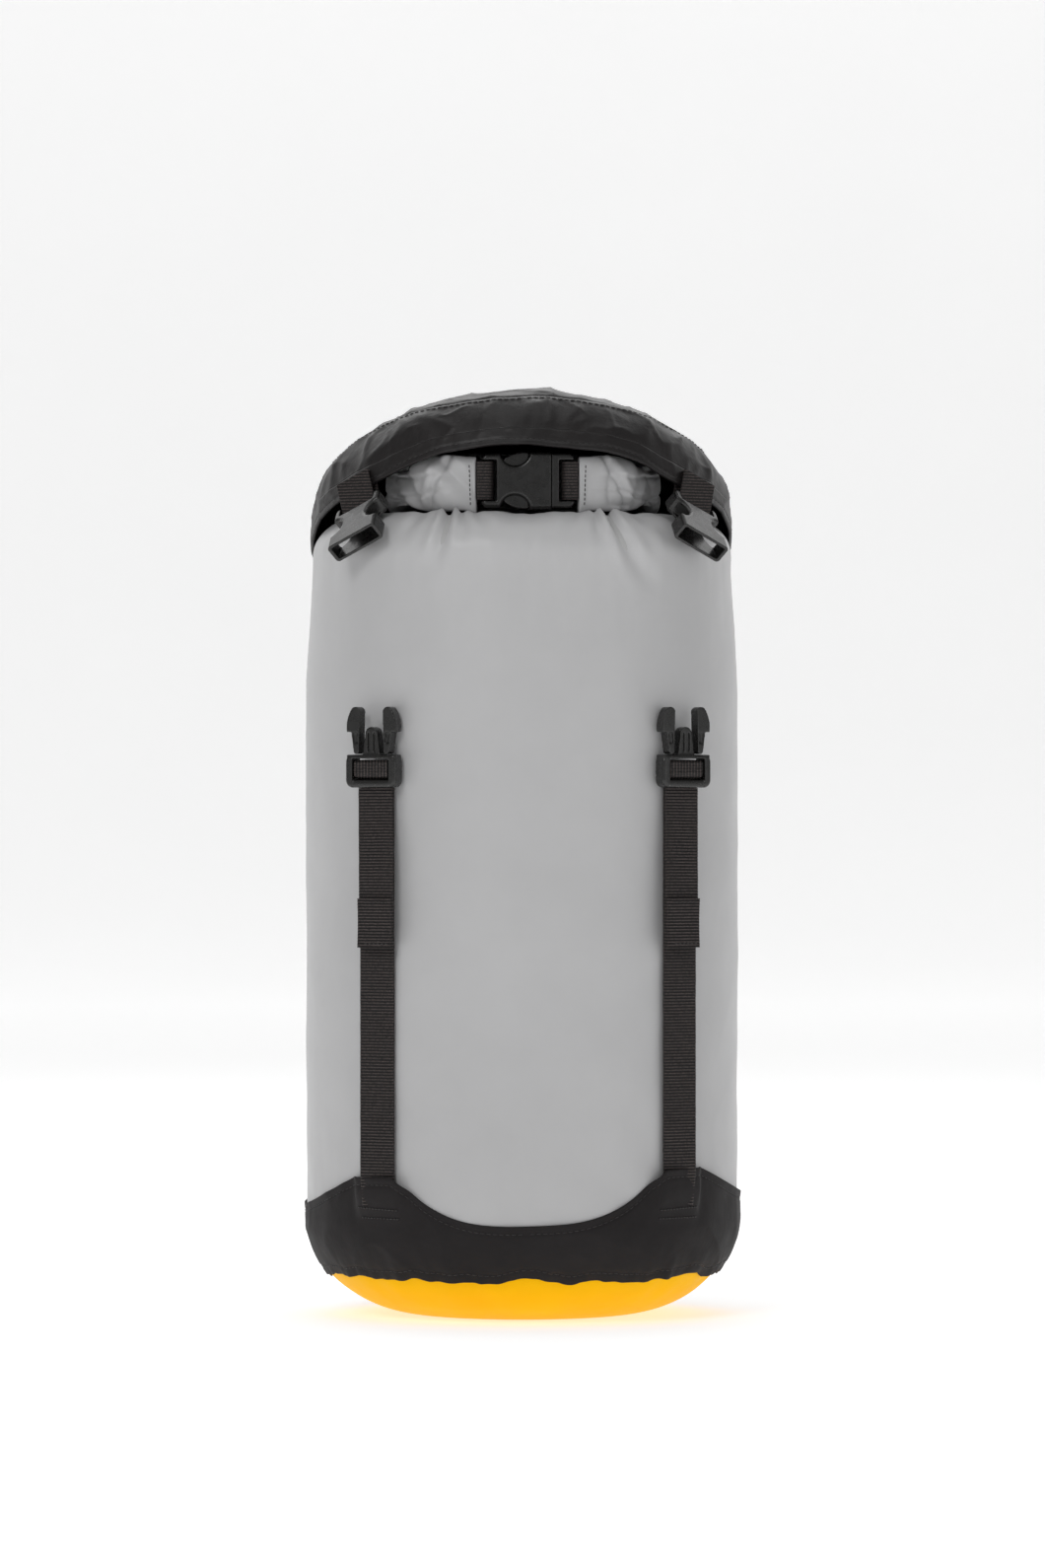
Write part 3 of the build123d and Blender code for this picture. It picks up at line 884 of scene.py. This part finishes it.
for end, label in ((-1, "front"), (1, "rear")):
    for side, hand in ((-1, "left"), (1, "right")):
        for row, z in enumerate((43.5, 47.0)):
            line = []
            for k in range(7):
                line.append(Vector(skin_point(side * (52 + 16 * k / 6), z + 0.12 * k * row, end, 1.45)))
            bar_name = f"{label}_{hand}_anchor_stitch_{row}"
            stitches(bar_name, line, 1.7, 1.25, "sack", radial, thick=BAR_THREAD)


def around_band(height):
    """A line of points round the band, at a height(top, hem) between its edges."""

    def point(angle):
        top, hem = band_edges(angle)

        def relief(x, y, z):
            return max(BAND_LEAST, BAND_OUT + band_relief(x, y, z, top, hem) - 0.3) + 0.05

        return Vector(off_profile(length_at(height(top, hem)), angle, relief))

    return [point(tau * k / 360) for k in range(361)]


for name, height in (
    ("band_top_stitch", lambda top, hem: top - HEM_STITCH_IN),
    ("band_hem_stitch", lambda top, hem: hem + HEM_STITCH_IN),
):
    stitches(name, around_band(height), STITCH_PITCH, STITCH_LENGTH, "sack", radial)


# =====================================================================================================
# Rolled mouth
# =====================================================================================================
ROLL_PATH = [  # half of the roll's middle line, from the rear round the right to its tab
    (0, 38.5),
    (14, 38.2),
    (35, 32.5),
    (48.5, 18.0),
    (53, 2.0),
    (52.6, -14.0),
    (48.5, -31.0),
    (40.0, -45.0),
    (31.0, -52.5),
    (21.0, ROLL_FRONT),
]


def spline(points, steps):
    """Smooth curve through points (Catmull-Rom)."""
    out = []
    ends = [points[0]] + points + [points[-1]]
    for k in range(1, len(ends) - 2):
        p0, p1, p2, p3 = (Vector(p) for p in ends[k - 1 : k + 3])
        square = 2 * p0 - 5 * p1 + 4 * p2 - p3
        cube = 3 * p1 - p0 - 3 * p2 + p3
        for i in range(steps):
            t = i / steps
            out.append(0.5 * (2 * p1 + (p2 - p0) * t + square * t * t + cube * t**3))
    out.append(Vector(points[-1]))
    return out


ROLL_LINE = spline(ROLL_PATH, 18)
ROLL_LEN = path_lengths(ROLL_LINE)


def roll_at(distance):
    """Place and direction at a distance along the roll's middle line."""
    for k in range(len(ROLL_LINE) - 1):
        if ROLL_LEN[k + 1] >= distance:
            break
    span = ROLL_LEN[k + 1] - ROLL_LEN[k]
    t = clamp((distance - ROLL_LEN[k]) / span)
    direction = (ROLL_LINE[k + 1] - ROLL_LINE[k]).normalized()
    return ROLL_LINE[k].lerp(ROLL_LINE[k + 1], t), direction


def roll_half(side, hand, body):
    """Half of the rolled cloth: a soft flat tube with the edges of its turns, pressed flat at its tab."""
    total = ROLL_LEN[-1]
    inside = Vector((0, -5))  # a point that the roll goes round
    stitch_side = total - 17  # where the tab starts

    def point(s, t):
        distance = total * s
        middle, direction = roll_at(distance)
        out = Vector((direction.y, -direction.x))
        if out.dot(middle - inside) < 0:
            out = -out
        tab = ease(stitch_side, total - 6, distance)
        arm = ease(total - 62, total - 20, distance)
        half_thick = 4.9 * (1 - 0.45 * tab) + 0.7 * arm * (1 - tab)
        half_high = 11.0 - 4.4 * bump(distance, total - 42, 13) + 0.7 * bump(distance, total - 15, 8)
        sunk = 0.8 * arm * (1 - tab) - 1.2 * bump(distance, total - 16, 8)
        sunk -= 5.5 * ease(78, 18, distance)  # the rear stands higher
        c, q = cos(t * tau), sin(t * tau)
        outer = c > 0
        across = half_thick * rounded(c, 0.72)
        up = half_high * rounded(q, 0.8)
        across += 0.3 * sign(across) * (1 - tab)
        if outer:  # edges of the turns show on this face
            across -= 0.8 * ease(0.8, -0.2, up - 4.2 + 1.4 * sin(distance / 17)) * (1 - tab)
            across -= 0.9 * bump(up, -3.5 + 1.2 * sin(distance / 11 + 1), 0.9) * (1 - 0.8 * tab)
            across -= 0.5 * bump(up, 4.2 - 1.4 * sin(distance / 17), 0.8) * (1 - tab)
        # pleats lean down towards the buckle on the arms
        slant = distance + 0.55 * up
        pleat = noise.noise(Vector((slant / 7.5, side * 3.0, up / 26)))
        pleat2 = ridge(slant, up * 0.5, side * 20, 17, 2.0 * side)
        strength = 0.6 + 2.2 * arm * (1 - 0.85 * tab)
        across -= 1.5 * bump(distance - 0.45 * up, total - 15.5, 1.3) * outer
        across += 0.9 * bump(distance - 0.45 * up, total - 19.0, 2.0) * outer
        across += (1.15 * strength * pleat - 0.9 * strength * pleat2) * (0.4 + 0.6 * outer)
        up += 0.8 * (1 - tab) * noise.noise(Vector((distance / 13, 7.0 * side, q)))
        if up < 0:  # the tab's lower corner is drawn to a point at its inner end
            up -= 1.2 * tab * ease(total - 5, total, distance)
        x = side * (middle.x + out.x * across)
        y = middle.y + out.y * across
        return x, y, ROLL_MID + up - sunk

    obj = grid("roll_cloth_" + hand, 210, 96, point, closed=True, flip=side < 0)
    mend(obj, fill=lambda edge: True, face_out=True)
    replaced = ("rolled_mouth", "roll_arm_" + hand, "roll_tab_" + hand)
    put_on(obj, None, GREY_ROLL, "body_nylon", *replaced)
    start, end = (tuple(Vector(p) * MM) for p in ((side * 54, -30, ROLL_MID), (side * 30, -53, ROLL_MID)))
    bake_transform(obj, "sack", body, start=start, end=end)


ROLL_HALVES = ((-1, "left", "roll_female"), (1, "right", "roll_male"))
for side, hand, body in ROLL_HALVES:
    roll_half(side, hand, body)
for side, hand, body in ROLL_HALVES:
    x, face = side * 23.4, ROLL_FRONT - 3.4
    row = [(x, face, ROLL_MID - 9), (x + side * 0.6, face, ROLL_MID + 9)]
    stitches(
        f"roll_tab_{hand}_stitch",
        row,
        BAR_PITCH,
        BAR_LENGTH,
        body,
        lambda p: Vector((0, -1, 0)),
        thick=0.45,
        slot="body_nylon",
    )


# =====================================================================================================
# Lid
# =====================================================================================================
def lid_wrinkles(x, y, z, h):
    """Folds of the thin cloth: soft dents and crossing creases, less at the crown's seam."""
    loose = 1 - 0.55 * bump(h, CROWN_SEAM, 4)
    rise = 1.0 * wobble(x, y, z, 34, 0.7) + 0.6 * wobble(x, y, z, 17, 4.1)
    for height, size, seed in ((0.9, 46, 2.9), (0.7, 24, 8.3), (0.5, 11, 6.1)):
        rise += height * ridge(x, y, z, size, seed)
    return loose * rise


def lid_local(radius, angle, h):
    """A point at a radius and height round the lid's tilted axis; angle 0 is the front."""
    x, y, _ = round_about(radius, angle, h)
    return (
        x,
        LID_BACK + y * cos(LID_TILT) + h * sin(LID_TILT),
        LID_RIM - y * sin(LID_TILT) + h * cos(LID_TILT),
    )


WALL_SHARE = 0.09  # of the lid's outline, for its straight wall


def lid_surface(angle, q, out=0.0):
    """A point of the lid's skin: q is 0 at the hem and 1 at the middle of the top."""
    if q < WALL_SHARE:
        h, radius = LID_WALL * q / WALL_SHARE, LID_R
        nr, nh = 1.0, 0.0
    else:
        a = pi / 2 * (q - WALL_SHARE) / (1 - WALL_SHARE)
        h, radius = LID_WALL + LID_DOME * sin(a), LID_R * cos(a)
        nr, nh = LID_DOME * cos(a), LID_R * sin(a)
        size = hypot(nr, nh)
        nr, nh = nr / size, nh / size
    x, y, z = lid_local(radius, angle, h)
    # the hem sags between the places that hold it
    front = ease(25, 0, y)
    droop = (1.6 + 5.0 * bump(abs(x), 66, 18) * front) * ease(22, 0, h) * ease(70, 50, y)
    droop += 1.2 * ease(14, 0, h) * noise.noise(Vector((4.5 * cos(angle), 4.5 * sin(angle), 2.0)))
    off = out + lid_wrinkles(x, y, z, h) * (0.35 + 0.65 * ease(0, 12, h))
    off -= 0.45 * bump(h, CROWN_SEAM, 0.8)
    off += 0.25 * bump(h, CROWN_SEAM - 2.0, 1.4)
    off -= 0.35 * bump(h, LID_STITCH, 0.45)
    off += 0.3 * ease(LID_HEM + 0.6, LID_HEM - 0.6, h)
    if y > 40:  # close to the tube's back
        off = min(off, 1.4)
    return lid_local(radius + nr * off, angle, h - droop * 0.9 + nh * off)


def lid_piece(name, q0, q1, rows, replaced, thick):
    obj = grid(name, rows, LID_AROUND, lambda s, t: lid_surface(t * tau, q0 + s * (q1 - q0)), closed=True)
    thicken(obj, thick)
    put_on(obj, "lid", BLACK, "lid_nylon", *replaced)


def q_at(h):
    """Place along the lid's outline at a height above its rim."""
    if h < LID_WALL:
        return WALL_SHARE * h / LID_WALL
    return WALL_SHARE + (1 - WALL_SHARE) * asin((h - LID_WALL) / LID_DOME) / (pi / 2)


lid_piece("lid_hem_tape", 0.0, q_at(LID_HEM), 16, ["lid_hem"], 1.4)
lid_piece(
    "lid_side_cloth", q_at(LID_HEM), q_at(CROWN_SEAM), 40, ["lid_side_band", "lid_back_panel"], 0.5
)
lid_piece("lid_crown_cloth", q_at(CROWN_SEAM), 0.998, 110, ["lid_crown"], 0.5)


def lid_line(h):
    """A line of points round the lid, just off its cloth."""
    q = q_at(h)
    return [Vector(lid_surface(tau * k / 360, q, 0.1)) for k in range(361)]


def from_lid_axis(point):
    axis = Vector((0, sin(LID_TILT), cos(LID_TILT)))
    away = point - Vector((0, LID_BACK, LID_RIM))
    return away - axis * away.dot(axis)


for name, height in (("lid_hem_stitch", LID_STITCH), ("lid_crown_stitch", CROWN_SEAM - 2.6)):
    line = lid_line(height)
    stitches(name, line, STITCH_PITCH, STITCH_LENGTH, "lid", from_lid_axis, slot="lid_nylon")


# =====================================================================================================
# Buckles and webbing loops: softened copies of their CAD nodes
# =====================================================================================================
def softened(node, ending, voxel, passes, mat, slot):
    """A copy of a CAD node with small radii on all its edges; voxel is in millimetres."""
    obj = new_object(node + ending, nodes[node].data.copy())
    remesh = obj.modifiers.new("remesh", "REMESH")
    remesh.mode = "VOXEL"
    remesh.voxel_size = voxel * MM
    soften = obj.modifiers.new("soften", "SMOOTH")
    soften.iterations = passes
    apply_modifiers(obj)
    put_on(obj, body_of(nodes[node])[0], mat, slot, node)


for node in sorted(nodes):
    if node.endswith("_half") or "_prong_" in node:
        softened(node, "_moulded", 0.28, 3, PLASTIC, "buckle_plastic")
for node in sorted(nodes):
    if node.endswith("_lid_loop") or node.startswith("roll_loop"):
        softened(node, "_webbing", 0.3, 2, WEBBING, "webbing")
for node in ("filling", "roll_stiffener"):
    nodes[node].data.materials.clear()
    nodes[node].data.materials.append(HIDDEN)


# =====================================================================================================
# Stage: camera, backdrop, light
# =====================================================================================================
CAMERA_DISTANCE = 3.0
CAMERA_HEIGHT = 0.221
CAMERA_TURN = radians(2.0)  # to the left of the front
FRAME_HEIGHT = 0.656  # what the long side of the image takes in at the sack's axis

camera = bpy.data.objects.new("camera", bpy.data.cameras.new("camera"))
bpy.context.scene.collection.objects.link(camera)
camera.data.sensor_width = 36
camera.data.lens = 36 * CAMERA_DISTANCE / FRAME_HEIGHT
camera.data.clip_end = 30
camera.location = round_about(CAMERA_DISTANCE, -CAMERA_TURN, CAMERA_HEIGHT)
camera.rotation_euler = (pi / 2, 0, -CAMERA_TURN)
bpy.context.scene.camera = camera


def backdrop():
    """A pale sweep, in metres: a floor, a large curve and a wall, clear of cameras 3 m away."""
    reach, back, radius, wall_top, steps = 12.0, 4.2, 1.6, 9.0, 16
    line = [(-reach, 0.0), (back, 0.0)]
    for k in range(1, steps + 1):
        a = pi / 2 * k / steps
        line.append((back + radius * sin(a), radius * (1 - cos(a))))
    line.append((back + radius, wall_top))
    points, faces = [], []
    for y, z in line:
        points += [(-reach, y, z), (reach, y, z)]
    for k in range(len(line) - 1):
        faces.append((2 * k, 2 * k + 1, 2 * k + 3, 2 * k + 2))
    mesh = bpy.data.meshes.new("backdrop")
    mesh.from_pydata(points, [], faces)
    mesh.shade_smooth()
    obj = new_object("backdrop", mesh)
    paper = Shader("backdrop_paper")
    paper.colour(paper.noise(3), [(0.3, (0.86, 0.86, 0.86)), (0.7, (0.88, 0.88, 0.88))])
    paper.set(Roughness=0.9, Emission_Color=(1, 1, 1, 1), Emission_Strength=0.50)
    obj.data.materials.append(paper.material)


backdrop()


def area_light(name, place, target, size, power):
    lamp = bpy.data.lights.new(name, "AREA")
    lamp.shape = "RECTANGLE"
    lamp.size, lamp.size_y = size
    lamp.energy = power
    obj = bpy.data.objects.new(name, lamp)
    bpy.context.scene.collection.objects.link(obj)
    obj.location = place
    obj.rotation_euler = (Vector(target) - Vector(place)).to_track_quat("-Z", "Y").to_euler()


# Places and sizes in metres, powers in watts.
area_light("key", (-1.1, -2.2, 1.5), (0, 0, 0.2), (0.9, 0.9), 17)
area_light("fill", (1.7, -1.9, 0.6), (0, 0, 0.2), (1.4, 1.8), 6)
area_light("top", (0, -0.3, 2.2), (0, 0, 0.2), (1.6, 1.6), 8)
area_light("back", (0, 1.6, 1.6), (0, 0, 0.3), (2.0, 1.0), 8)

world = bpy.data.worlds.new("studio")
bpy.context.scene.world = world
world.use_nodes = True
background = world.node_tree.nodes["Background"]
background.inputs["Color"].default_value = (1, 1, 1, 1)
background.inputs["Strength"].default_value = 0.24
bpy.context.scene.view_settings.view_transform = "Standard"
